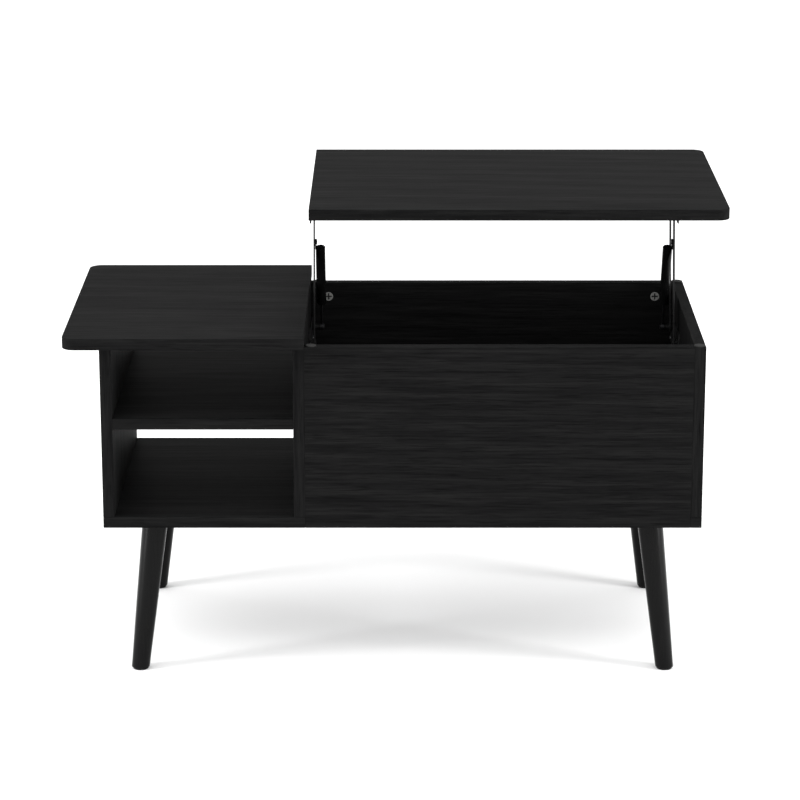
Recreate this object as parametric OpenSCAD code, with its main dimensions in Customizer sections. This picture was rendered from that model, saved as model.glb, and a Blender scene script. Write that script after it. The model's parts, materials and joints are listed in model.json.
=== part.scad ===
// Lift top coffee table: a low cabinet on four splayed legs, with two open cubbies on the left
// under a fixed top, and a storage box on the right under a top that lifts up and back.
// Cabinet coordinates: X to the right from the table's middle, Y back from the cabinet's front
// plane, Z up from the floor. in_table() moves a piece from there to the part's own frame.

/* [Cabinet] */
// Width of the cabinet across its side panels
cab_w = 946; // [900:1:1000]
// Depth of the cabinet, front plane to rear plane
cab_d = 439; // [425:1:450]
// Height of the cabinet's underside above the floor
cab_z = 244; // [200:1:260]
// Height of the boards' underside at the closed tops
top_z = 542; // [538:1:548]
// Thickness of every board
board = 18; // [16:0.5:19]
// Left face of the storage box, measured from the table's middle
box_x = -153.5; // [-160:0.5:-140]
// Height of the shelf's underside
shelf_z = 406; // [370:1:430]
// How far the storage box's rim stays below the closed lift top
rim_drop = 2; // [2:0.5:4]

/* [Tops] */
// Width of the whole table top
top_w = 1058; // [1040:1:1070]
// Overhang of the tops past the cabinet's front and rear planes
overhang = 27.5; // [20:0.5:30]
// Radius of the tops' four outer corners
corner_r = 20; // [10:1:30]
// Gap between the fixed top and the lift top
top_gap = 2; // [2:0.5:4]

/* [Legs] */
// Diameter of a leg at the cabinet
leg_top_d = 41; // [36:1:44]
// Diameter of a leg at its foot
leg_foot_d = 29; // [26:1:32]
// Distance from the table's middle to a foot's centre, along X
foot_x = 421.5; // [410:0.5:430]
// Distance from the cabinet's front or rear plane to a foot's centre
foot_inset = 22.4; // [18:0.1:30]
// Splay of a leg along X, foot to top
splay_x = 26.5; // [20:0.5:32]
// Splay of a leg along Y, foot to top
splay_y = 25.5; // [20:0.5:32]

/* [Lift mechanism] */
// Distance between an arm's two pivots
arm_len = 207.5; // [205:0.5:210]
// Angle of the arms above the horizontal, raised, measured from straight back
raised_angle = 76; // [74:0.5:80]
// Swing of the arms from raised to closed
swing = 89.4; // [88:0.1:90]
// Y of the front arm's lower pivot
pivot_y = 275; // [270:1:280]
// Height of the lower pivots
pivot_z = 474; // [472:1:478]
// Distance between the front and rear arms' pivots
pivot_gap = 106; // [100:1:108]
// Thickness of the arms' steel
arm_t = 2.3; // [2:0.1:2.5]
// Width of an arm
arm_w = 17; // [14:1:18]
// Radius of the hinge pins
pin_r = 3; // [2.5:0.1:3.5]
// Distance along the front arm from its lower pivot to the spring's pin
spring_at = 166; // [164:1:168]
// Outer diameter of the spring's sleeve
sleeve_d = 16; // [15.5:0.5:16.5]
// Length of the spring's sleeve
sleeve_len = 113; // [111:1:115]

/* [Hidden] */
$fn = 64;

LAMINATE = [0.10, 0.10, 0.10];
STEEL = [0.22, 0.22, 0.23];
ZINC = [0.70, 0.70, 0.68];
PLASTIC = [0.06, 0.06, 0.06];
BEECH = [0.78, 0.62, 0.42];
PAD = [0.62, 0.62, 0.60];

// Travel of the lift top from closed to raised
closed_angle = raised_angle + swing;
rise_y = arm_len * (cos(raised_angle) - cos(closed_angle));
rise_z = arm_len * (sin(raised_angle) - sin(closed_angle));

// The part's origin is on the floor under the middle of the raised table
front_y = -overhang;
back_y = cab_d + overhang + rise_y;
centre_y = (front_y + back_y) / 2;

half_w = cab_w / 2;
floor_z = cab_z + board;
rim_z = top_z - rim_drop;
box_right = half_w - board;
divider_x = box_x - board;
cubby_x = -half_w + board;
lift_x = box_x + top_gap;
lift_w = top_w / 2 - lift_x;
top_d = cab_d + 2 * overhang;
raised_z = top_z + rise_z;

// Running clearance in a hinge bore, and a looser one at the pivot that is left open
play = 0.05;
open_play = 0.3;
// Clearance of a fastener in its hole
fit = 0.05;
// How far a cut runs past the face that it opens
cut = 1;

// Layers of a mechanism, counted inwards from the storage box's wall
plate_t = 2.5;
bracket_x = 1.4;
rear_arm_x = 4.4;
front_arm_x = 7.35;
spring_x = 18.5;
lug_x = 10;
lug_t = 2;
eye_t = 5.6;

// Base plate and bracket outlines
plate_y = pivot_y - 24;
plate_len = pivot_gap + 48;
plate_z = pivot_z - 32;
plate_h = 50;
bracket_end = 16;
bracket_h = 24;
flange_w = 24;
flange_t = 2.5;
plate_r = 8;
plate_screw_z = plate_z + 9;
plate_screw_in = 13;
plate_screw_ys = [10, plate_len / 2, plate_len - 10];
bracket_screw_ys = [30, pivot_gap / 2 + bracket_end, pivot_gap + 2];
bracket_screw_x = bracket_x + 15;
screw_r = 1.9;
screw_in = 12;

// Screw heads: how far they reach past the shank's radius, and their heights
screw_rim = 1.9;
leg_screw_rim = 1.8;
screw_head_h = 1.8;
plate_screw_head_h = 1.7;

// Hinge pins: end float, head height, head radii, and how far a shoulder is wider than its head
pin_gap = 0.15;
pin_head_h = 1.6;
lower_head_r = 5.5;
upper_head_r = 5;
anchor_head_r = 4.5;
shoulder_rim = 0.5;
pin_start = 0.2;
collar_overlap = 0.5;
spring_pin_gap = 0.1;
spring_pin_head_r = 4.5;
spring_pin_head_h = 1.2;

// Spring unit: its direction at rest, from the rear lower pivot up to the pin on the front arm
spring_pin_y = pivot_y + spring_at * cos(raised_angle);
spring_pin_z = pivot_z + spring_at * sin(raised_angle);
anchor_y = pivot_y + pivot_gap;
spring_angle = atan2(spring_pin_z - pivot_z, spring_pin_y - anchor_y);
sleeve_from = 11;
sleeve_bore_r = 7.3;
cap_t = 1.5;
lug_r = 5;
lug_sunk = 1;
rod_len = 160;
rod_r = 2;
rod_from = 4.5;
eye_r = 6;

// Legs
leg_plate_t = 2.5;
leg_plate_w = 58;
glide_h = 3;
leg_top_z = cab_z - leg_plate_t;
leg_run = norm([splay_x, splay_y]);
leg_tilt = atan2(leg_run, leg_top_z);
leg_axis_len = norm([leg_run, leg_top_z]);
leg_bolt_r = 4;
leg_bolt_len = 45;
leg_bolt_out = 7;
leg_bolt_end = leg_axis_len - leg_bolt_len + 6;
leg_bore_end = leg_axis_len - leg_bolt_len + 5;
leg_screw_at = leg_plate_w / 2 - 7;
glide_inset = 2;
leg_recess_r = 9;
leg_recess_h = 9;
CORNERS = [[-1, 0], [1, 0], [-1, 1], [1, 1]];

// Cams, bolts and dowels in the storage box's front and rear panels
cam_r = 7.5;
cam_depth = 12.5;
cam_in = 29;
cam_zs = [cab_z + 46, rim_z - 24];
cam_bolt_r = 3.4;
cam_bolt_gap = 0.6;
dowel_r = 4;
dowel_shift = 4;
top_dowel_down = 16;
top_dowel_up = 11;
dowel_half = 14;
dowel_z = (cab_z + rim_z) / 2;
into_side = 10;
confirmat_r = 3.4;
confirmat_len = 50;
confirmat_sunk = 0.5;
confirmat_head_top = 3.5;
confirmat_rim = 1.6;
confirmat_ys = [60, cab_d - 60];
shelf_dowel_ys = [70, cab_d - 70];
bumper_r = 8.5;
bumper_h = 1.5;
bumper_xs = [box_x + 10.5, box_right + board / 2 - 1];
cam_slot_long = 5.4;
cam_slot_half = 1.2;
cam_slot_deep = 3.5;

// Moves a piece from cabinet coordinates to the part's own frame
module in_table() {
  translate([0, -centre_y, 0]) children();
}

// A bar along X from x0 to x1
module bar_x(x0, x1, y, z, r) {
  translate([x0, y, z]) rotate([0, 90, 0]) cylinder(h = x1 - x0, r = r);
}

// A bar along Y from y0 to y1
module bar_y(x, y0, y1, z, r) {
  translate([x, y0, z]) rotate([-90, 0, 0]) cylinder(h = y1 - y0, r = r);
}

// A bar along Z from z0 to z1
module bar_z(x, y, z0, z1, r) {
  translate([x, y, z0]) cylinder(h = z1 - z0, r = r);
}

// A board from its lowest to its highest corner
module slab(low, high) {
  translate(low) cube(high - low);
}

// Stands a piece drawn inwards from a wall on the storage box's left (-1) or right (1) wall
module on_wall(side) {
  if (side < 0) {
    translate([box_x, 0, 0]) children();
  } else {
    translate([box_right, 0, 0]) mirror([1, 0, 0]) children();
  }
}

// Repeats a piece on both walls of the storage box
module both_walls() {
  for (side = [-1, 1]) {
    on_wall(side) children();
  }
}

// A plate in the YZ plane with rounded corners
module rounded_plate(x0, t, y, z, len, h, r) {
  slab([x0, y + r, z], [x0 + t, y + len - r, z + h]);
  slab([x0, y, z + r], [x0 + t, y + len, z + h - r]);
  for (cy = [y + r, y + len - r], cz = [z + r, z + h - r]) {
    bar_x(x0, x0 + t, cy, cz, r);
  }
}

// ---- Fasteners between the boards: one shape each, used for the piece and for its hole ----

// Cam locks in the front and rear panels' inner faces, grown by g for their holes
module cams(g) {
  for (x = [box_x + cam_in, box_right - cam_in], z = cam_zs) {
    bar_y(x, board - cam_depth - g, board, z, cam_r + g);
    bar_y(x, cab_d - board, cab_d - board + cam_depth + g, z, cam_r + g);
  }
}

// Cam bolts from the divider and the right panel to the cams, grown by g for their holes
module cam_bolt_bars(g) {
  reach = cam_in - cam_r - cam_bolt_gap;
  for (y = [board / 2, cab_d - board / 2], z = cam_zs) {
    bar_x(box_x - into_side - g, box_x + reach + g, y, z, cam_bolt_r + g);
    bar_x(box_right - reach - g, box_right + into_side + g, y, z, cam_bolt_r + g);
  }
}

// Dowels that line up the boards, grown by g for their holes
module dowel_bars(g) {
  for (y = [board / 2, cab_d - board / 2], x = [box_x + dowel_shift, box_right - dowel_shift]) {
    bar_x(x - dowel_half - g, x + dowel_half + g, y, dowel_z, dowel_r + g);
  }
  for (y = shelf_dowel_ys, x = [cubby_x + dowel_shift, divider_x - dowel_shift]) {
    bar_x(x - dowel_half - g, x + dowel_half + g, y, shelf_z + board / 2, dowel_r + g);
  }
  for (y = confirmat_ys, x = [cubby_x - board / 2, divider_x + board / 2]) {
    bar_z(x, y, top_z - top_dowel_down - g, top_z + top_dowel_up + g, dowel_r + g);
  }
}

// Screws up through the bottom board into the three upright panels, grown by g for their holes
module confirmats(g) {
  for (y = confirmat_ys, x = [-half_w + board / 2, divider_x + board / 2, half_w - board / 2]) {
    bar_z(x, y, cab_z + confirmat_sunk - g, cab_z + confirmat_len + g, confirmat_r + g);
    bar_z(x, y, cab_z + confirmat_sunk - g, cab_z + confirmat_head_top, confirmat_r + confirmat_rim + g);
  }
}

// Screws of both base plates in the storage box's walls, grown by g for their holes
module base_screws(g) {
  both_walls() {
    for (y = plate_screw_ys) {
      bar_x(-plate_screw_in - g, plate_t + g, plate_y + y, plate_screw_z, screw_r + g);
    }
  }
}

// ---- Boards ----

module bottom_board() {
  color(LAMINATE) in_table() difference() {
    slab([-half_w, 0, cab_z], [half_w, cab_d, floor_z]);
    slab([box_x, -cut, cab_z - cut], [box_right, board, floor_z + cut]);
    confirmats(fit);
    leg_recesses();
    leg_screw_bars(fit);
  }
}

module left_side_panel() {
  color(LAMINATE) in_table() difference() {
    slab([-half_w, 0, floor_z], [cubby_x, cab_d, top_z]);
    confirmats(fit);
    dowel_bars(fit);
  }
}

module divider_panel() {
  color(LAMINATE) in_table() difference() {
    slab([divider_x, 0, floor_z], [box_x, cab_d, top_z]);
    confirmats(fit);
    dowel_bars(fit);
    cam_bolt_bars(fit);
    base_screws(fit);
  }
}

module right_side_panel() {
  color(LAMINATE) in_table() difference() {
    slab([box_right, 0, floor_z], [half_w, cab_d, rim_z]);
    confirmats(fit);
    dowel_bars(fit);
    cam_bolt_bars(fit);
    base_screws(fit);
  }
}

module front_panel() {
  color(LAMINATE) in_table() difference() {
    slab([box_x, 0, cab_z], [box_right, board, rim_z]);
    cams(fit);
    cam_bolt_bars(fit);
    dowel_bars(fit);
  }
}

module rear_panel() {
  color(LAMINATE) in_table() difference() {
    slab([box_x, cab_d - board, floor_z], [box_right, cab_d, rim_z]);
    cams(fit);
    cam_bolt_bars(fit);
    dowel_bars(fit);
  }
}

module shelf() {
  color(LAMINATE) in_table() difference() {
    slab([cubby_x, 0, shelf_z], [divider_x, cab_d, shelf_z + board]);
    dowel_bars(fit);
  }
}

// A top board from x = 0 to w with its two corners at x = w rounded
module top_board(w, z) {
  r = corner_r;
  slab([0, 0, z], [w - r, top_d, z + board]);
  slab([w - r, r, z], [w, top_d - r, z + board]);
  for (y = [r, top_d - r]) {
    bar_z(w - r, y, z, z + board, r);
  }
}

module fixed_top() {
  color(LAMINATE) in_table() difference() {
    translate([box_x, -overhang, 0]) mirror([1, 0, 0]) top_board(top_w / 2 + box_x, top_z);
    dowel_bars(fit);
  }
}

module lift_top_panel() {
  color(LAMINATE) in_table() difference() {
    translate([lift_x, rise_y - overhang, 0]) top_board(lift_w, raised_z);
    bracket_screw_bars(fit);
  }
}

// ---- Legs ----

// Places a piece drawn upwards from a foot's centre along the leg's own axis
module along_leg(corner) {
  sx = corner[0];
  sy = corner[1] == 0 ? 1 : -1;
  y = corner[1] == 0 ? foot_inset : cab_d - foot_inset;
  lean = atan2(sy * splay_y, -sx * splay_x);
  translate([sx * foot_x, y, 0]) rotate([0, 0, lean]) rotate([0, leg_tilt, 0]) children();
}

// Places a piece drawn about the centre of a leg's top
module at_leg_top(corner) {
  y = corner[1] == 0 ? foot_inset + splay_y : cab_d - foot_inset - splay_y;
  translate([corner[0] * (foot_x - splay_x), y, 0]) children();
}

module leg(corner) {
  over = 20;
  grow = (leg_top_d - leg_foot_d) / 2 / leg_axis_len * over;
  color(LAMINATE) in_table() difference() {
    intersection() {
      along_leg(corner) translate([0, 0, -over]) {
        cylinder(h = leg_axis_len + 2 * over, r1 = leg_foot_d / 2 - grow, r2 = leg_top_d / 2 + grow);
      }
      slab([-top_w, -top_w, glide_h], [top_w, top_w, leg_top_z]);
    }
    along_leg(corner) bar_z(0, 0, leg_bore_end, leg_axis_len + over, leg_bolt_r + fit);
  }
}

module front_left_leg() { leg(CORNERS[0]); }
module front_right_leg() { leg(CORNERS[1]); }
module rear_left_leg() { leg(CORNERS[2]); }
module rear_right_leg() { leg(CORNERS[3]); }

// Screws of the leg plates in the bottom board, grown by g for their holes
module leg_screw_bars(g) {
  at = leg_screw_at;
  for (corner = CORNERS, x = [-at, at], y = [-at, at]) {
    at_leg_top(corner) bar_z(x, y, leg_top_z - g, cab_z + screw_in + g, screw_r + g);
  }
}

// Recesses in the bottom board that clear the ends of the leg bolts
module leg_recesses() {
  for (corner = CORNERS) {
    at_leg_top(corner) bar_z(0, 0, cab_z - cut, cab_z + leg_recess_h, leg_recess_r);
  }
}

module leg_plates() {
  w = leg_plate_w / 2;
  color(STEEL) in_table() difference() {
    for (corner = CORNERS) {
      at_leg_top(corner) slab([-w, -w, leg_top_z], [w, w, cab_z]);
    }
    leg_screw_bars(fit);
    for (corner = CORNERS) {
      along_leg(corner) bar_z(0, 0, leg_bore_end, leg_axis_len + leg_bolt_len, leg_bolt_r + fit);
    }
  }
}

module leg_plate_screws() {
  at = leg_screw_at;
  color(ZINC) in_table() {
    leg_screw_bars(0);
    for (corner = CORNERS, x = [-at, at], y = [-at, at]) {
      at_leg_top(corner) bar_z(x, y, leg_top_z - screw_head_h, leg_top_z, screw_r + leg_screw_rim);
    }
  }
}

module leg_bolts() {
  color(ZINC) in_table() {
    for (corner = CORNERS) {
      along_leg(corner) bar_z(0, 0, leg_bolt_end, leg_axis_len + leg_bolt_out, leg_bolt_r);
    }
  }
}

module leg_glides() {
  color(PLASTIC) in_table() {
    for (corner = CORNERS) {
      along = glide_h / leg_top_z;
      y = corner[1] == 0 ? foot_inset + along * splay_y : cab_d - foot_inset - along * splay_y;
      bar_z(corner[0] * (foot_x - along * splay_x), y, 0, glide_h, leg_foot_d / 2 - glide_inset);
    }
  }
}

// ---- Cabinet hardware ----

module cam_locks() {
  color(ZINC) in_table() difference() {
    cams(0);
    cam_slots();
  }
}

// Cross slots in the cam locks' faces
module cam_slots() {
  long = cam_slot_long;
  half = cam_slot_half;
  deep = cam_slot_deep;
  for (x = [box_x + cam_in, box_right - cam_in], z = cam_zs, y = [board, cab_d - board]) {
    slab([x - long, y - deep, z - half], [x + long, y + deep, z + half]);
    slab([x - half, y - deep, z - long], [x + half, y + deep, z + long]);
  }
}

module cam_bolts() {
  color(ZINC) in_table() cam_bolt_bars(0);
}

module wood_dowels() {
  color(BEECH) in_table() dowel_bars(0);
}

module panel_screws() {
  color(ZINC) in_table() confirmats(0);
}

module rim_bumpers() {
  y_front = board / 2;
  color(PAD) in_table() {
    for (x = bumper_xs, y = [y_front, cab_d - y_front]) {
      bar_z(x, y, rim_z, rim_z + bumper_h, bumper_r);
    }
  }
}

// ---- Lift mechanism: pieces fixed to the cabinet ----

module base_plate(side) {
  color(STEEL) in_table() difference() {
    on_wall(side) rounded_plate(0, plate_t, plate_y, plate_z, plate_len, plate_h, plate_r);
    base_screws(fit);
    on_wall(side) {
      for (y = [pivot_y, anchor_y]) {
        bar_x(-cut, plate_t + cut, y, pivot_z, pin_r + fit);
      }
    }
  }
}

module base_plate_left() { base_plate(-1); }
module base_plate_right() { base_plate(1); }

module base_plate_screws() {
  color(ZINC) in_table() {
    base_screws(0);
    both_walls() {
      for (y = plate_screw_ys) {
        bar_x(plate_t, plate_t + plate_screw_head_h, plate_y + y, plate_screw_z, screw_r + screw_rim);
      }
    }
  }
}

// A shouldered pin: shank, and a shoulder and a head on the two sides of the piece it carries
module shouldered_pin(y, z, from, carried_x, carried_t, head_r, start) {
  head_x = carried_x + carried_t + pin_gap;
  bar_x(from, head_x, y, z, pin_r);
  bar_x(start, carried_x - pin_gap, y, z, head_r + shoulder_rim);
  bar_x(head_x, head_x + pin_head_h, y, z, head_r);
}

module lower_pivot_pins() {
  collar_x = rear_arm_x + arm_t + pin_gap + pin_head_h - collar_overlap;
  eye_x = spring_x - eye_t / 2;
  color(STEEL) in_table() both_walls() {
    shouldered_pin(pivot_y, pivot_z, pin_start, front_arm_x, arm_t, lower_head_r, plate_t);
    shouldered_pin(anchor_y, pivot_z, pin_start, rear_arm_x, arm_t, lower_head_r, plate_t);
    shouldered_pin(anchor_y, pivot_z, collar_x, eye_x, eye_t, anchor_head_r, collar_x);
  }
}

// ---- Lift mechanism: arms ----

// An arm from a lower pivot, in the layer that starts at x0, at the raised angle
module arm_body(x0, y) {
  translate([x0, y, pivot_z]) rotate([raised_angle, 0, 0]) {
    slab([0, 0, -arm_w / 2], [arm_t, arm_len, arm_w / 2]);
    bar_x(0, arm_t, 0, 0, arm_w / 2);
    bar_x(0, arm_t, arm_len, 0, arm_w / 2);
  }
}

// A pin's hole through the arm in the layer that starts at x0, grown by g
module arm_hole(x0, y, z, g) {
  bar_x(x0 - cut, x0 + arm_t + cut, y, z, pin_r + g);
}

// Y and Z of an upper pivot of the raised arms
function upper_y(y) = y + arm_len * cos(raised_angle);
upper_z = pivot_z + arm_len * sin(raised_angle);

module front_arm(side) {
  color(STEEL) in_table() on_wall(side) difference() {
    arm_body(front_arm_x, pivot_y);
    arm_hole(front_arm_x, pivot_y, pivot_z, play);
    arm_hole(front_arm_x, upper_y(pivot_y), upper_z, play);
    arm_hole(front_arm_x, spring_pin_y, spring_pin_z, fit);
  }
}

module front_arm_left() { front_arm(-1); }
module front_arm_right() { front_arm(1); }

module rear_arm(side) {
  color(STEEL) in_table() on_wall(side) difference() {
    arm_body(rear_arm_x, anchor_y);
    arm_hole(rear_arm_x, anchor_y, pivot_z, play);
    arm_hole(rear_arm_x, upper_y(anchor_y), upper_z, open_play);
  }
}

module rear_arm_left() { rear_arm(-1); }
module rear_arm_right() { rear_arm(1); }

module spring_pins() {
  head_x = lug_x + lug_t + spring_pin_gap;
  color(STEEL) in_table() both_walls() {
    bar_x(front_arm_x, head_x, spring_pin_y, spring_pin_z, pin_r);
    bar_x(front_arm_x + arm_t, lug_x - spring_pin_gap, spring_pin_y, spring_pin_z, spring_pin_head_r);
    bar_x(head_x, head_x + spring_pin_head_h, spring_pin_y, spring_pin_z, spring_pin_head_r);
  }
}

// ---- Lift mechanism: pieces that carry the lift top ----

// Screws of both brackets in the lift top, grown by g for their holes
module bracket_screw_bars(g) {
  both_walls() {
    for (y = bracket_screw_ys) {
      bar_z(
        bracket_screw_x, upper_y(pivot_y) - bracket_end + y,
        raised_z - flange_t - g, raised_z + screw_in + g, screw_r + g
      );
    }
  }
}

module top_bracket(side) {
  y = upper_y(pivot_y) - bracket_end;
  len = pivot_gap + 2 * bracket_end;
  color(STEEL) in_table() difference() {
    on_wall(side) {
      slab([bracket_x, y, raised_z - bracket_h], [bracket_x + plate_t, y + len, raised_z]);
      slab([bracket_x, y, raised_z - flange_t], [bracket_x + flange_w, y + len, raised_z]);
    }
    bracket_screw_bars(fit);
    on_wall(side) {
      for (hole_y = [upper_y(pivot_y), upper_y(anchor_y)]) {
        bar_x(bracket_x - cut, bracket_x + plate_t + cut, hole_y, upper_z, pin_r + fit);
      }
    }
  }
}

module top_bracket_left() { top_bracket(-1); }
module top_bracket_right() { top_bracket(1); }

module top_bracket_screws() {
  color(ZINC) in_table() {
    bracket_screw_bars(0);
    both_walls() {
      for (y = bracket_screw_ys) {
        bar_z(
          bracket_screw_x, upper_y(pivot_y) - bracket_end + y,
          raised_z - flange_t - screw_head_h, raised_z - flange_t, screw_r + screw_rim
        );
      }
    }
  }
}

module upper_pivot_pins() {
  start = bracket_x + plate_t;
  color(STEEL) in_table() both_walls() {
    shouldered_pin(upper_y(pivot_y), upper_z, bracket_x, front_arm_x, arm_t, upper_head_r, start);
    shouldered_pin(upper_y(anchor_y), upper_z, bracket_x, rear_arm_x, arm_t, upper_head_r, start);
  }
}

// ---- Spring units ----

// Places a piece drawn along -Z from the spring pin, pointing at the rear lower pivot
module down_spring() {
  translate([spring_x, spring_pin_y, spring_pin_z]) rotate([spring_angle - 90, 0, 0]) children();
}

module spring_sleeve(side) {
  end = sleeve_from + sleeve_len;
  color(PLASTIC) in_table() on_wall(side) down_spring() difference() {
    bar_z(0, 0, -end, -sleeve_from - cap_t, sleeve_d / 2);
    bar_z(0, 0, -end - cut, -sleeve_from, sleeve_bore_r);
  }
}

module spring_sleeve_left() { spring_sleeve(-1); }
module spring_sleeve_right() { spring_sleeve(1); }

// End caps of the sleeves, each with a flat lug that hangs on the front arm's spring pin
module sleeve_caps() {
  lug = lug_x - spring_x;
  color(PLASTIC) in_table() both_walls() down_spring() difference() {
    union() {
      bar_z(0, 0, -sleeve_from - cap_t, -sleeve_from, sleeve_d / 2);
      slab([lug, -lug_r, -sleeve_from - lug_sunk], [lug + lug_t, lug_r, 0]);
      bar_x(lug, lug + lug_t, 0, 0, lug_r);
    }
    bar_x(lug - cut, lug + lug_t + cut, 0, 0, pin_r + play);
  }
}

// The draw rod of a spring unit, from its eye on the rear lower pivot up into the sleeve
module spring_rod(side) {
  color(STEEL) in_table() on_wall(side) {
    translate([spring_x, anchor_y, pivot_z]) rotate([spring_angle - 90, 0, 0]) difference() {
      union() {
        bar_z(0, 0, rod_from, rod_len, rod_r);
        bar_x(-eye_t / 2, eye_t / 2, 0, 0, eye_r);
      }
      bar_x(-eye_t, eye_t, 0, 0, pin_r + play);
    }
  }
}

module spring_rod_left() { spring_rod(-1); }
module spring_rod_right() { spring_rod(1); }

bottom_board();
left_side_panel();
divider_panel();
right_side_panel();
front_panel();
rear_panel();
shelf();
fixed_top();
front_left_leg();
front_right_leg();
rear_left_leg();
rear_right_leg();
leg_plates();
leg_plate_screws();
leg_bolts();
leg_glides();
cam_locks();
cam_bolts();
wood_dowels();
panel_screws();
rim_bumpers();
base_plate_left();
base_plate_right();
base_plate_screws();
lower_pivot_pins();
front_arm_left();
front_arm_right();
spring_pins();
rear_arm_left();
rear_arm_right();
lift_top_panel();
top_bracket_left();
top_bracket_right();
top_bracket_screws();
upper_pivot_pins();
spring_sleeve_left();
spring_sleeve_right();
sleeve_caps();
spring_rod_left();
spring_rod_right();
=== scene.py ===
import json
import math

import bmesh
import bpy
from mathutils import Matrix, Vector

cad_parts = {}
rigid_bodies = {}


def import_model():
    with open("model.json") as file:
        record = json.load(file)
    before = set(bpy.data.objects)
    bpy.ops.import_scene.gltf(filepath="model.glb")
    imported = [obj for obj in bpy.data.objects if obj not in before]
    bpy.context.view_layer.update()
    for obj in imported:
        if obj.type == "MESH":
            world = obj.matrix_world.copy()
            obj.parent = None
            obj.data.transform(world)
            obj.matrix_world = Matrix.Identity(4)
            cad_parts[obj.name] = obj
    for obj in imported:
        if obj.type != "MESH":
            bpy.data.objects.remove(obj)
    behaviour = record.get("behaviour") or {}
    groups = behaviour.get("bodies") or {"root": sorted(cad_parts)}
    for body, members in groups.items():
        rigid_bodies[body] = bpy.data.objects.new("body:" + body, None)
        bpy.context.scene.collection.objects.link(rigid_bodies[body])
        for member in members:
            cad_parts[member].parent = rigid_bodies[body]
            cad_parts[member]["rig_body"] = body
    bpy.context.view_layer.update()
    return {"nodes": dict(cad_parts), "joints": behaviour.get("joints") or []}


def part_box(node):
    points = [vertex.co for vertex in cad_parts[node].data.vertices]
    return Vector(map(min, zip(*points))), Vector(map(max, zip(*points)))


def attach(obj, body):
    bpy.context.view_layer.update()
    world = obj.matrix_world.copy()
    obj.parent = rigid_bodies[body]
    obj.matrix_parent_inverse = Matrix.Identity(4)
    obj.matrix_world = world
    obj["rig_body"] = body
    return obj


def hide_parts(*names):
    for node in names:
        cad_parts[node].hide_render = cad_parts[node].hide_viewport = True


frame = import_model()
MM = 0.001

# Rounding of edges
BOARD_EDGE = 0.9 * MM
HOLE_EDGE = 0.2 * MM
STEEL_EDGE = 0.3 * MM
CAP_EDGE = 0.6 * MM
DOWEL_EDGE = 0.8 * MM

# Segments in a rounded edge
EDGE_STEPS = 2
BOARD_STEPS = 3
CAP_STEPS = 4

# Edges that turn by more than SHARP are rounded; shading breaks at edges past CREASE
SHARP = math.radians(35)
CREASE = math.radians(50)

# Vertices this close are merged, and faces that turn by less than FLAT become one
WELD = 0.001 * MM
FLAT = math.radians(0.5)

# Legs, as in the CAD model
LEG_TOP_R = 20.5 * MM
LEG_FOOT_R = 14.5 * MM
LEG_ROUND = 1.2 * MM
LEG_SIDES = 72
LEG_RINGS = 24
LEG_FOOT_STEPS = 5
LEG_TOP_STEPS = 4

# The spring sleeves' wall, and where they run from the pin on the front arm
SLEEVE_WALL = 0.7 * MM
SLEEVE_FROM = 12.5 * MM
SLEEVE_LENGTH = 111.5 * MM
SLEEVE_EDGE_STEPS = 8

# Radius of a cam lock's face inside its outer wall
CAM_FACE_R = 6.8 * MM

# Heights of the screws' heads, and the radius of their shanks
WALL_HEAD = 1.7 * MM
BOARD_HEAD = 1.8 * MM
SHANK_R = 1.9 * MM

# A screw's tip as a share of its shank's radius, and its head's rounding as a share of its height
TIP_SHARE = 0.6
HEAD_ROUND = 0.75
HEAD_STEPS = 6

# The cross recess: length and width as shares of the head's radius, depth as a share of its height
CROSS_LENGTH = 1.15
CROSS_WIDTH = 0.26
CROSS_DEPTH = 0.65

# Rounding of the rim pads and the glides as a share of their height
PAD_ROUND = 0.7
PAD_STEPS = 6
GLIDE_ROUND = 0.35
GLIDE_STEPS = 5

SCREW_SIDES = 32
PAD_SIDES = 64

# The floor reaches this far, and lies a little below the glides so that their faces don't coincide
FLOOR_REACH = 60
FLOOR_GAP = 0.1 * MM

# Lights: the sun's place only gives its direction, and the strips stand left and right in front
SKY_STRENGTH = 1.30
SUN_FROM = (-1.0, -0.6, 5.0)
SUN_STRENGTH = 1.0
SUN_ANGLE = math.radians(75)
STRIP_X, STRIP_Y, STRIP_Z = 3.4, -1.3, 0.9
STRIP_AIM = (0, 0, 0.25)
STRIP_WIDTH, STRIP_HEIGHT = 0.8, 1.7
STRIP_POWER = 120

# Camera: place in metres, degrees below the horizon, lens in mm
CAMERA_AT = (-0.0040, -5.0144, 1.7915)
CAMERA_DOWN = 15.976
CAMERA_LENS = 139.82

# Wood grain: how far it waves, the share of growth rings in it, and its pores' share of its colour
GRAIN_BEND = 1.6
RING_SHARE = 0.10
PORE_SHADE = 0.62

# The dark patches of bare and plated steel, as a share of its shade
PATCH_SHADE = 0.78


# ---- Materials ----

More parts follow.
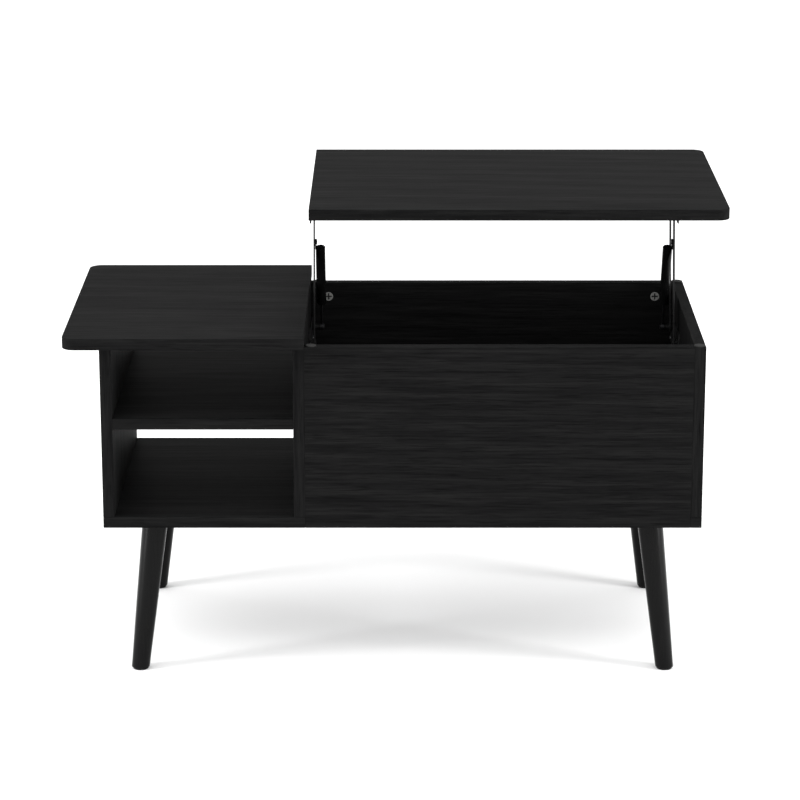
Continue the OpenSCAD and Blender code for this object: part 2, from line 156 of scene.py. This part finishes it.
class Surface:
    """A material's Principled shader, with helpers to build the nodes that feed it."""

    def __init__(self, name):
        self.material = bpy.data.materials.new(name)
        self.material.use_nodes = True
        self.tree = self.material.node_tree
        self.shader = self.tree.nodes["Principled BSDF"]

    def add(self, kind, **values):
        """A new node: each value goes to the socket of that name, or else to the node's setting."""
        node = self.tree.nodes.new(kind)
        for key, value in values.items():
            if key in node.inputs:
                node.inputs[key].default_value = value
            else:
                setattr(node, key, value)
        return node

    def join(self, source, output, target, socket):
        self.tree.links.new(source.outputs[output], target.inputs[socket])

    def place(self, repeats, offset=(0, 0, 0)):
        """Object coordinates at so many repeats per metre, so that a pattern sits still on its piece."""
        source = self.add("ShaderNodeTexCoord")
        mapping = self.add("ShaderNodeMapping", Scale=repeats, Location=offset)
        self.join(source, "Object", mapping, "Vector")
        return mapping

    def noise(self, place, **values):
        """Noise at the coordinates that the place node gives."""
        node = self.add("ShaderNodeTexNoise", Scale=1.0, **values)
        self.join(place, "Vector", node, "Vector")
        return node

    def even_noise(self, repeats, **values):
        """Noise with the same repeats per metre in every direction."""
        return self.noise(self.place((repeats, repeats, repeats)), **values)

    def tint(self, source, stops):
        """Colours by the source's first output: stops are (position, (red, green, blue)) pairs."""
        node = self.add("ShaderNodeValToRGB")
        elements = node.color_ramp.elements
        while len(elements) < len(stops):
            elements.new(0.5)
        for element, (position, colour) in zip(elements, stops):
            element.position = position
            element.color = (*colour, 1)
        self.join(source, 0, node, "Fac")
        return node

    def greys(self, source, stops):
        """Greys by the source's first output: stops are (position, value) pairs."""
        return self.tint(source, [(position, (value, value, value)) for position, value in stops])

    def colour(self, source, stops):
        self.join(self.tint(source, stops), "Color", self.shader, "Base Color")

    def roughness(self, source, stops):
        self.join(self.greys(source, stops), "Color", self.shader, "Roughness")

    def specular(self, level):
        self.shader.inputs["Specular IOR Level"].default_value = level

    def bump(self, source, strength, distance):
        node = self.add("ShaderNodeBump", Strength=strength, Distance=distance)
        self.join(source, 0, node, "Height")
        self.join(node, "Normal", self.shader, "Normal")


def stretched(axis, along, across):
    """Repeats per metre of a pattern stretched along one axis."""
    return tuple(along if name == axis else across for name in "xyz")


def laminate(name, axis, offset):
    """Black laminate printed and embossed with wood grain that runs along axis."""
    surface = Surface(name)
    add, join = surface.add, surface.join
    warp = surface.noise(
        surface.place(stretched(axis, along=1.4, across=7.0), offset), Detail=3.0, Roughness=0.5,
    )
    bend = add("ShaderNodeVectorMath", operation="MULTIPLY_ADD")
    bend.inputs[1].default_value = (GRAIN_BEND, GRAIN_BEND, GRAIN_BEND)
    join(warp, "Color", bend, 0)
    join(surface.place(stretched(axis, along=7.0, across=240.0), offset), "Vector", bend, 2)
    streaks = surface.noise(bend, Detail=7.0, Roughness=0.62, Distortion=0.25)

    pores = surface.noise(
        surface.place(stretched(axis, along=26.0, across=900.0), offset), Detail=2.0, Roughness=0.5,
    )
    pore_mask = surface.greys(pores, [(0.36, 1.0), (0.47, 0.0)])

    rings = add(
        "ShaderNodeTexWave", wave_type="RINGS", rings_direction="SPHERICAL",
        Scale=0.9, Distortion=5.0, Detail=3.0, **{"Detail Scale": 1.2, "Detail Roughness": 0.6},
    )
    ring_place = surface.place(stretched(axis, along=0.9, across=16.0), offset)
    join(ring_place, "Vector", rings, "Vector")
    figure = add("ShaderNodeMix", data_type="FLOAT", Factor=RING_SHARE)
    join(streaks, "Fac", figure, 2)
    join(rings, "Fac", figure, 3)

    colour = surface.tint(figure, [
        (0.32, (0.0042, 0.0042, 0.0043)),
        (0.50, (0.0066, 0.0066, 0.0067)),
        (0.68, (0.0096, 0.0096, 0.0095)),
    ])
    with_pores = add("ShaderNodeMix", data_type="RGBA", blend_type="MULTIPLY")
    with_pores.inputs["B"].default_value = (PORE_SHADE, PORE_SHADE, PORE_SHADE, 1)
    join(pore_mask, "Color", with_pores, 0)
    join(colour, "Color", with_pores, "A")
    join(with_pores, "Result", surface.shader, "Base Color")
    surface.roughness(figure, [(0.25, 0.66), (0.75, 0.56)])
    surface.specular(0.010)

    relief = add("ShaderNodeMath", operation="SUBTRACT")
    join(figure, 0, relief, 0)
    join(pore_mask, "Color", relief, 1)
    surface.bump(relief, 0.15, 0.10 * MM)
    return surface.material


def leg_lacquer():
    """Black satin lacquer over turned wood: faint grain along the leg under an even coat."""
    surface = Surface("leg_lacquer")
    grain = surface.noise(
        surface.place(stretched("z", along=5.0, across=260.0)), Detail=6.0, Roughness=0.6,
    )
    cloud = surface.even_noise(28.0, Detail=3.0)
    surface.colour(grain, [(0.3, (0.0016, 0.0016, 0.0017)), (0.7, (0.0030, 0.0030, 0.0029))])
    surface.roughness(cloud, [(0.3, 0.17), (0.7, 0.23)])
    surface.specular(0.09)
    surface.bump(grain, 0.06, 0.05 * MM)
    return surface.material


def coated_steel():
    """Black powder coat on the mechanism's steel: fine orange peel and slightly worn patches."""
    surface = Surface("mechanism_steel")
    peel = surface.even_noise(1400.0, Detail=2.0)
    cloud = surface.even_noise(45.0, Detail=4.0)
    surface.colour(cloud, [(0.35, (0.0045, 0.0045, 0.0045)), (0.70, (0.0085, 0.0085, 0.0088))])
    surface.roughness(cloud, [(0.3, 0.46), (0.7, 0.58)])
    surface.specular(0.12)
    surface.bump(peel, 0.15, 0.05 * MM)
    return surface.material


def plated_steel(name, shade, rough_low, rough_high):
    """Bare or plated steel with cloudy patches and fine turning marks."""
    surface = Surface(name)
    surface.shader.inputs["Metallic"].default_value = 1.0
    cloud = surface.even_noise(160.0, Detail=5.0, Roughness=0.6)
    marks = surface.even_noise(2600.0, Detail=2.0)
    patch = tuple(PATCH_SHADE * c for c in shade)
    surface.colour(cloud, [(0.35, patch), (0.65, shade)])
    surface.roughness(cloud, [(0.3, rough_low), (0.7, rough_high)])
    surface.bump(marks, 0.12, 0.03 * MM)
    return surface.material


def cast_zinc():
    """Grey die-cast cam locks, with painted shade in each cross recess: faces that the mesh's recess
    attribute marks are coloured near-black.
    """
    surface = Surface("cast_zinc")
    cloud = surface.even_noise(420.0, Detail=5.0, Roughness=0.6)
    colour = surface.tint(cloud, [(0.35, (0.16, 0.16, 0.155)), (0.65, (0.25, 0.25, 0.24))])
    recess = surface.add("ShaderNodeAttribute", attribute_name="recess")
    shade = surface.add("ShaderNodeMix", data_type="RGBA")
    # Painted shade: a near-black colour that stands in for the shade inside the cross recess
    shade.inputs["B"].default_value = (0.006, 0.006, 0.006, 1)
    surface.join(recess, "Fac", shade, 0)
    surface.join(colour, "Color", shade, "A")
    surface.join(shade, "Result", surface.shader, "Base Color")
    surface.roughness(cloud, [(0.3, 0.42), (0.7, 0.58)])
    surface.specular(0.4)
    surface.bump(cloud, 0.2, 0.05 * MM)
    return surface.material


def black_plastic():
    """Moulded black plastic with a fine matt texture."""
    surface = Surface("black_plastic")
    texture = surface.even_noise(1800.0, Detail=2.0)
    cloud = surface.even_noise(60.0, Detail=3.0)
    surface.colour(cloud, [(0.3, (0.0022, 0.0022, 0.0023)), (0.7, (0.0038, 0.0038, 0.0039))])
    surface.roughness(cloud, [(0.3, 0.20), (0.7, 0.27)])
    surface.specular(0.07)
    surface.bump(texture, 0.1, 0.03 * MM)
    return surface.material


def pad_rubber():
    """Soft dark grey pad: matt, with slight mottling."""
    surface = Surface("pad")
    mottle = surface.even_noise(700.0, Detail=4.0)
    surface.colour(mottle, [(0.35, (0.014, 0.014, 0.0135)), (0.65, (0.020, 0.020, 0.0195))])
    surface.roughness(mottle, [(0.3, 0.55), (0.7, 0.68)])
    surface.specular(0.08)
    surface.bump(mottle, 0.25, 0.05 * MM)
    return surface.material


def beech():
    """Plain beech dowels: short dark flecks in pale wood."""
    surface = Surface("beech")
    flecks = surface.noise(surface.place(stretched("x", along=60.0, across=700.0)), Detail=5.0)
    surface.colour(flecks, [(0.35, (0.42, 0.27, 0.14)), (0.6, (0.62, 0.45, 0.27))])
    surface.roughness(flecks, [(0.3, 0.6), (0.7, 0.75)])
    surface.bump(flecks, 0.3, 0.1 * MM)
    return surface.material


def floor_paint():
    """Plain pale floor."""
    surface = Surface("floor")
    surface.shader.inputs["Base Color"].default_value = (0.90, 0.90, 0.90, 1)
    surface.shader.inputs["Roughness"].default_value = 0.9
    surface.specular(0.0)
    return surface.material


# ---- Mesh helpers ----

def new_object(name, data):
    """A new object in the scene."""
    thing = bpy.data.objects.new(name, data)
    bpy.context.scene.collection.objects.link(thing)
    return thing


def new_mesh(name, bm):
    """A mesh from bm, which is freed."""
    mesh = bpy.data.meshes.new(name)
    bm.to_mesh(mesh)
    bm.free()
    return mesh


def finish_mesh(bm, name):
    """Turns bm into a smooth-shaded object whose flat faces stay flat."""
    mesh = new_mesh(name, bm)
    for polygon in mesh.polygons:
        polygon.use_smooth = True
    mesh.set_sharp_from_angle(angle=CREASE)
    piece = new_object(name, mesh)
    weighted = piece.modifiers.new("flat faces", "WEIGHTED_NORMAL")
    weighted.keep_sharp = True
    return piece


def stand_for(piece, node, material):
    """Gives a piece its material and its body, and hides the CAD node it stands for."""
    piece.data.materials.append(material)
    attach(piece, frame["nodes"][node]["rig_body"])
    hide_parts(node)


def node_bmesh(node):
    """The CAD node's shape with its vertices merged."""
    bm = bmesh.new()
    bm.from_mesh(frame["nodes"][node].data)
    bmesh.ops.remove_doubles(bm, verts=bm.verts, dist=WELD)
    return bm


def connected_groups(items, neighbours):
    """Items in groups that hang together. A dict keeps their order the same in each run."""
    left = dict.fromkeys(items)
    groups = []
    while left:
        group = [left.popitem()[0]]
        for item in group:
            for other in neighbours(item):
                if other in left:
                    del left[other]
                    group.append(other)
        groups.append(group)
    return groups


def sharp_groups(bm):
    """Groups of connected sharp edges, the longest first."""
    sharp = [e for e in bm.edges if len(e.link_faces) == 2 and e.calc_face_angle(0) > SHARP]
    groups = connected_groups(sharp, lambda edge: [e for vert in edge.verts for e in vert.link_edges])
    return sorted(groups, key=lambda group: -sum(e.calc_length() for e in group))


def solids(node):
    """The boxes of a node's separate solids, as (lowest corner, highest corner)."""
    bm = node_bmesh(node)
    islands = connected_groups(bm.verts, lambda vert: [e.other_vert(vert) for e in vert.link_edges])
    found = [
        (
            Vector([min(v.co[i] for v in island) for i in range(3)]),
            Vector([max(v.co[i] for v in island) for i in range(3)]),
        )
        for island in islands
    ]
    bm.free()
    return sorted(found, key=lambda box: tuple(round(c, 4) for c in box[0]))


def round_edges(bm, edges, width, segments):
    """Rounds edges of bm."""
    if edges:
        bmesh.ops.bevel(
            bm, geom=edges, offset=width, segments=segments, profile=0.5,
            affect="EDGES", clamp_overlap=True, loop_slide=True,
        )


def softened(node, name, width, hole_width=None, segments=EDGE_STEPS):
    """A copy of a CAD node with rounded edges: width on its outline, and hole_width on its holes."""
    bm = node_bmesh(node)
    bmesh.ops.dissolve_limit(bm, angle_limit=FLAT, verts=bm.verts, edges=bm.edges)
    groups = sharp_groups(bm)
    if groups:
        round_edges(bm, groups[0], width, segments)
    for group in sharp_groups(bm):
        round_edges(bm, [e for e in group if e.is_valid], hole_width or width, EDGE_STEPS)
    return finish_mesh(bm, name)


def ring(bm, radius, height, sides, place):
    """Vertices round the place's Z axis, or one vertex on it where the radius is 0."""
    if radius == 0:
        return [bm.verts.new(place @ Vector((0, 0, height)))]
    turn = [2 * math.pi * k / sides for k in range(sides)]
    corners = [Vector((radius * math.cos(t), radius * math.sin(t), height)) for t in turn]
    return [bm.verts.new(place @ corner) for corner in corners]


def skin(bm, rings, sides):
    """Faces between neighbouring rings, from the lowest to the highest."""
    for low, high in zip(rings, rings[1:]):
        for k in range(sides):
            j = (k + 1) % sides
            if len(low) == 1:
                bm.faces.new((low[0], high[j], high[k]))
            elif len(high) == 1:
                bm.faces.new((low[k], low[j], high[0]))
            else:
                bm.faces.new((low[k], low[j], high[j], high[k]))


def lathe(bm, profile, sides, place):
    """Adds a turned shape: profile is (radius, height) pairs, and radius 0 closes an end."""
    skin(bm, [ring(bm, radius, height, sides, place) for radius, height in profile], sides)


def rounded_profile(radius, height, fillet, steps):
    """Profile of a disc with its top edge rounded."""
    points = [(0, 0), (radius, 0), (radius, height - fillet)]
    for k in range(1, steps + 1):
        t = math.pi / 2 * k / steps
        points.append((radius - fillet + fillet * math.cos(t), height - fillet + fillet * math.sin(t)))
    points.append((0, height))
    return points


# ---- Boards ----

# The axis that each board's grain runs along, and where in the pattern the board lies
BOARDS = {
    "bottom_board": ("x", (0.3, 1.7, 0.2)),
    "left_side_panel": ("z", (2.1, 0.4, 0.6)),
    "divider_panel": ("z", (3.3, 1.4, 1.1)),
    "right_side_panel": ("z", (4.9, 2.2, 0.1)),
    "front_panel": ("x", (5.2, 0.9, 3.7)),
    "rear_panel": ("x", (6.1, 3.1, 1.9)),
    "shelf": ("x", (7.7, 0.2, 2.8)),
    "fixed_top": ("x", (8.4, 4.6, 0.9)),
    "lift_top_panel": ("x", (9.8, 5.3, 4.1)),
}


def make_boards():
    """The boards, each with its own stretch of the grain."""
    for node, (axis, offset) in BOARDS.items():
        piece = softened(node, node + "_board", BOARD_EDGE, HOLE_EDGE, BOARD_STEPS)
        stand_for(piece, node, laminate("laminate_" + node, axis, offset))


# ---- Legs ----

def leg_heights(length):
    """Heights of a leg's sections: close together on its rounded ends, even in between."""
    quarter = math.pi / 2
    straight = length - 2 * LEG_ROUND
    foot = [LEG_ROUND * (1 - math.cos(quarter * k / LEG_FOOT_STEPS)) for k in range(LEG_FOOT_STEPS)]
    middle = [LEG_ROUND + straight * k / LEG_RINGS for k in range(LEG_RINGS + 1)]
    top = [
        length - LEG_ROUND * (1 - math.sin(quarter * k / LEG_TOP_STEPS))
        for k in range(1, LEG_TOP_STEPS + 1)
    ]
    return foot + middle + top


def leg_shape(node):
    """A splayed turned leg: horizontal sections along a leaning axis, rounded at both ends."""
    low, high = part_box(node)
    left = low.x + high.x < 0
    front = node.startswith("front")
    foot = Vector((
        low.x + LEG_FOOT_R if left else high.x - LEG_FOOT_R,
        low.y + LEG_FOOT_R if front else high.y - LEG_FOOT_R,
        low.z,
    ))
    top = Vector((
        high.x - LEG_TOP_R if left else low.x + LEG_TOP_R,
        high.y - LEG_TOP_R if front else low.y + LEG_TOP_R,
        high.z,
    ))
    length = top.z - foot.z
    bm = bmesh.new()
    rings = []
    for h in leg_heights(length):
        share = h / length
        into_round = max(LEG_ROUND - h, h - (length - LEG_ROUND), 0.0)
        inset = LEG_ROUND - math.sqrt(max(0.0, LEG_ROUND ** 2 - into_round ** 2))
        radius = LEG_FOOT_R + (LEG_TOP_R - LEG_FOOT_R) * share - inset
        rings.append(ring(bm, radius, 0, LEG_SIDES, Matrix.Translation(foot.lerp(top, share))))
    skin(bm, rings, LEG_SIDES)
    bm.faces.new(list(reversed(rings[0])))
    bm.faces.new(rings[-1])
    return finish_mesh(bm, node + "_turned")


def make_legs():
    """The four legs."""
    lacquer = leg_lacquer()
    for node in ("front_left_leg", "front_right_leg", "rear_left_leg", "rear_right_leg"):
        stand_for(leg_shape(node), node, lacquer)


# ---- Small round pieces ----

def add_disc(bm, box, round_share, steps, upwards):
    """Adds a disc that fills box, with its upper or lower edge rounded."""
    low, high = box
    middle = (low + high) / 2
    place = Matrix.Translation((middle.x, middle.y, low.z if upwards else high.z))
    if not upwards:
        place = place @ Matrix.Rotation(math.pi, 4, "X")
    height = high.z - low.z
    profile = rounded_profile((high.x - low.x) / 2, height, round_share * height, steps)
    lathe(bm, profile, PAD_SIDES, place)


def make_pads(material):
    """Domed pads on the storage box's rim."""
    bm = bmesh.new()
    for box in solids("rim_bumpers"):
        add_disc(bm, box, PAD_ROUND, PAD_STEPS, upwards=True)
    stand_for(finish_mesh(bm, "rim_pads"), "rim_bumpers", material)


def make_glides(material):
    """Glides under the legs, with a rounded lower edge."""
    bm = bmesh.new()
    for box in solids("leg_glides"):
        add_disc(bm, box, GLIDE_ROUND, GLIDE_STEPS, upwards=False)
    stand_for(finish_mesh(bm, "glides"), "leg_glides", material)


def head_template(radius, height):
    """A pan head with a cross recess, drawn upwards from its underside."""
    bm = bmesh.new()
    profile = rounded_profile(radius, height, HEAD_ROUND * height, HEAD_STEPS)
    lathe(bm, profile, SCREW_SIDES, Matrix.Identity(4))
    head = new_object("head", new_mesh("head", bm))
    cut = bmesh.new()
    lift = Matrix.Translation((0, 0, height))
    size = Matrix.Diagonal((CROSS_LENGTH * radius, CROSS_WIDTH * radius, 2 * CROSS_DEPTH * height, 1))
    for angle in (0, math.pi / 2):
        bmesh.ops.create_cube(cut, size=1, matrix=lift @ Matrix.Rotation(angle, 4, "Z") @ size)
    cutter = new_object("cut", new_mesh("cut", cut))
    boolean = head.modifiers.new("recess", "BOOLEAN")
    boolean.operation = "DIFFERENCE"
    boolean.object = cutter
    boolean.solver = "EXACT"
    boolean.use_self = True
    bpy.context.view_layer.update()
    evaluated = head.evaluated_get(bpy.context.evaluated_depsgraph_get())
    result = bpy.data.meshes.new_from_object(evaluated)
    bpy.data.objects.remove(head)
    bpy.data.objects.remove(cutter)
    return result


def make_screws(node, facing, material, head_h):
    """Screws with a rounded, recessed head: facing gives the direction that a screw's head faces."""
    bm = bmesh.new()
    template = None
    for low, high in solids(node):
        out = facing(low, high)
        along = max(range(3), key=lambda i: abs(out[i]))
        across = (along + 1) % 3
        if template is None:
            template = head_template((high[across] - low[across]) / 2, head_h)
        face = (low + high) / 2
        face[along] = high[along] if out[along] > 0 else low[along]
        turn = out.to_track_quat("Z", "Y").to_matrix().to_4x4()
        place = Matrix.Translation(face - out * head_h) @ turn
        start = len(bm.verts)
        bm.from_mesh(template)
        bm.verts.ensure_lookup_table()
        for vert in bm.verts[start:]:
            vert.co = place @ vert.co
        tip = head_h - (high[along] - low[along])
        shank = [(0, tip), (TIP_SHARE * SHANK_R, tip), (SHANK_R, tip + SHANK_R), (SHANK_R, 0), (0, 0)]
        lathe(bm, shank, SCREW_SIDES, place)
    stand_for(finish_mesh(bm, node + "_recessed"), node, material)


def facing_down(_low, _high):
    """Down, for screws driven up into a board."""
    return Vector((0, 0, -1))


def facing_inwards(low, high):
    """Inwards from the storage box's nearer side wall."""
    left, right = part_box("divider_panel")[1].x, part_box("right_side_panel")[0].x
    middle = (low.x + high.x) / 2
    return Vector((1, 0, 0)) if middle < (left + right) / 2 else Vector((-1, 0, 0))


def make_cams(material):
    """Cam locks, with the faces inside each cross recess marked in the recess attribute, which paints
    shade there.
    """
    piece = softened("cam_locks", "cam_locks_cast", HOLE_EDGE)
    cams = solids("cam_locks")
    # The recess attribute marks where painted shade goes: 1 inside a cross recess, 0 elsewhere
    marks = piece.data.attributes.new("recess", "FLOAT", "FACE")
    for polygon in piece.data.polygons:
        at = polygon.center
        low, high = min(cams, key=lambda box: ((box[0] + box[1]) / 2 - at).length)
        depth = min(at.y - low.y, high.y - at.y)
        away = math.hypot(at.x - (low.x + high.x) / 2, at.z - (low.z + high.z) / 2)
        marks.data[polygon.index].value = 1.0 if depth > HOLE_EDGE and away < CAM_FACE_R else 0.0
    stand_for(piece, "cam_locks", material)


def make_fasteners():
    """Screws, cam locks, bolts and dowels."""
    zinc = plated_steel("zinc", (0.50, 0.50, 0.48), 0.30, 0.45)
    black_zinc = plated_steel("black_zinc", (0.085, 0.085, 0.088), 0.38, 0.52)
    make_screws("base_plate_screws", facing_inwards, black_zinc, WALL_HEAD)
    make_screws("top_bracket_screws", facing_down, black_zinc, BOARD_HEAD)
    make_screws("leg_plate_screws", facing_down, zinc, BOARD_HEAD)
    make_cams(cast_zinc())
    for node in ("cam_bolts", "panel_screws", "leg_bolts"):
        stand_for(softened(node, node + "_plated", HOLE_EDGE), node, zinc)
    stand_for(softened("wood_dowels", "dowels", DOWEL_EDGE), "wood_dowels", beech())


# ---- Mechanism ----

STEEL_NODES = (
    "leg_plates", "base_plate_left", "base_plate_right", "lower_pivot_pins",
    "front_arm_left", "front_arm_right", "spring_pins", "rear_arm_left", "rear_arm_right",
    "top_bracket_left", "top_bracket_right", "upper_pivot_pins",
)


def hinge_place(name):
    """Where a joint's axis lies in the frame."""
    return next(Vector(j["pos_m"]) for j in frame["joints"] if j["name"] == name)


def sleeve_shape(node):
    """A thin tube with a rolled lower edge, along the line between the spring's two pins."""
    low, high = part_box(node)
    pin = hinge_place("sleeve_hinge")
    along = (hinge_place("rod_hinge") - pin).normalized()
    across = Vector((0, along.z, -along.y))
    turn = Matrix((Vector((1, 0, 0)), across, along)).transposed()
    start = pin + along * SLEEVE_FROM
    start.x = (low.x + high.x) / 2
    radius = (high.x - low.x) / 2
    bore = radius - SLEEVE_WALL
    edge = 0.5 * SLEEVE_WALL
    outline = [(bore, 0.0), (radius, 0.0)]
    for k in range(SLEEVE_EDGE_STEPS + 1):
        t = math.pi * k / SLEEVE_EDGE_STEPS
        outline.append((bore + edge + edge * math.cos(t), SLEEVE_LENGTH - edge + edge * math.sin(t)))
    outline.append((bore, 0.0))
    bm = bmesh.new()
    lathe(bm, outline, PAD_SIDES, Matrix.Translation(start) @ turn.to_4x4())
    bmesh.ops.remove_doubles(bm, verts=bm.verts, dist=WELD)
    bmesh.ops.recalc_face_normals(bm, faces=bm.faces)
    return finish_mesh(bm, node + "_tube")


def make_mechanism(plastic):
    """Steel parts of the mechanism and the legs' plates, and the spring units."""
    steel = coated_steel()
    drawn = plated_steel("drawn_steel", (0.032, 0.032, 0.034), 0.42, 0.55)
    for node in STEEL_NODES:
        stand_for(softened(node, node + "_steel", STEEL_EDGE), node, steel)
    for node in ("spring_rod_left", "spring_rod_right"):
        stand_for(softened(node, node + "_wire", STEEL_EDGE), node, drawn)
    for node in ("spring_sleeve_left", "spring_sleeve_right"):
        stand_for(sleeve_shape(node), node, plastic)
    caps = softened("sleeve_caps", "sleeve_ends", CAP_EDGE, segments=CAP_STEPS)
    stand_for(caps, "sleeve_caps", plastic)


# ---- Stage ----

def aim(lamp, direction):
    """Turns a lamp to shine in a direction."""
    lamp.rotation_euler = direction.to_track_quat("-Z", "Y").to_euler()


def make_strip(name, place):
    """A soft upright light that shines at the table from place."""
    light = bpy.data.lights.new(name, "AREA")
    light.shape = "RECTANGLE"
    light.size = STRIP_WIDTH
    light.size_y = STRIP_HEIGHT
    light.energy = STRIP_POWER
    lamp = new_object(name, light)
    lamp.location = place
    aim(lamp, Vector(STRIP_AIM) - Vector(place))


def make_sun():
    """An even, very soft light from above."""
    light = bpy.data.lights.new("overhead", "SUN")
    light.energy = SUN_STRENGTH
    light.angle = SUN_ANGLE
    aim(new_object("overhead", light), -Vector(SUN_FROM))


def make_stage():
    """Pale floor, even white surroundings and soft studio light."""
    bm = bmesh.new()
    bmesh.ops.create_grid(bm, x_segments=1, y_segments=1, size=FLOOR_REACH)
    floor = new_object("floor", new_mesh("floor", bm))
    floor.location.z = -FLOOR_GAP
    floor.data.materials.append(floor_paint())

    world = bpy.data.worlds.new("studio")
    world.use_nodes = True
    background = world.node_tree.nodes["Background"]
    background.inputs["Color"].default_value = (1, 1, 1, 1)
    background.inputs["Strength"].default_value = SKY_STRENGTH
    bpy.context.scene.world = world
    bpy.context.scene.view_settings.view_transform = "Standard"

    make_sun()
    make_strip("left strip", (-STRIP_X, STRIP_Y, STRIP_Z))
    make_strip("right strip", (STRIP_X, STRIP_Y, STRIP_Z))


def make_camera():
    """The photograph's viewing angle: far off, a little above, with a long lens."""
    data = bpy.data.cameras.new("camera")
    data.lens = CAMERA_LENS
    data.sensor_width = 36
    data.clip_start = 0.1
    data.clip_end = 200
    camera = new_object("camera", data)
    camera.location = CAMERA_AT
    camera.rotation_euler = (math.radians(90 - CAMERA_DOWN), 0, 0)
    bpy.context.scene.camera = camera


make_camera()
make_stage()
plastic = black_plastic()
make_boards()
make_legs()
make_pads(pad_rubber())
make_glides(plastic)
make_mechanism(plastic)
make_fasteners()
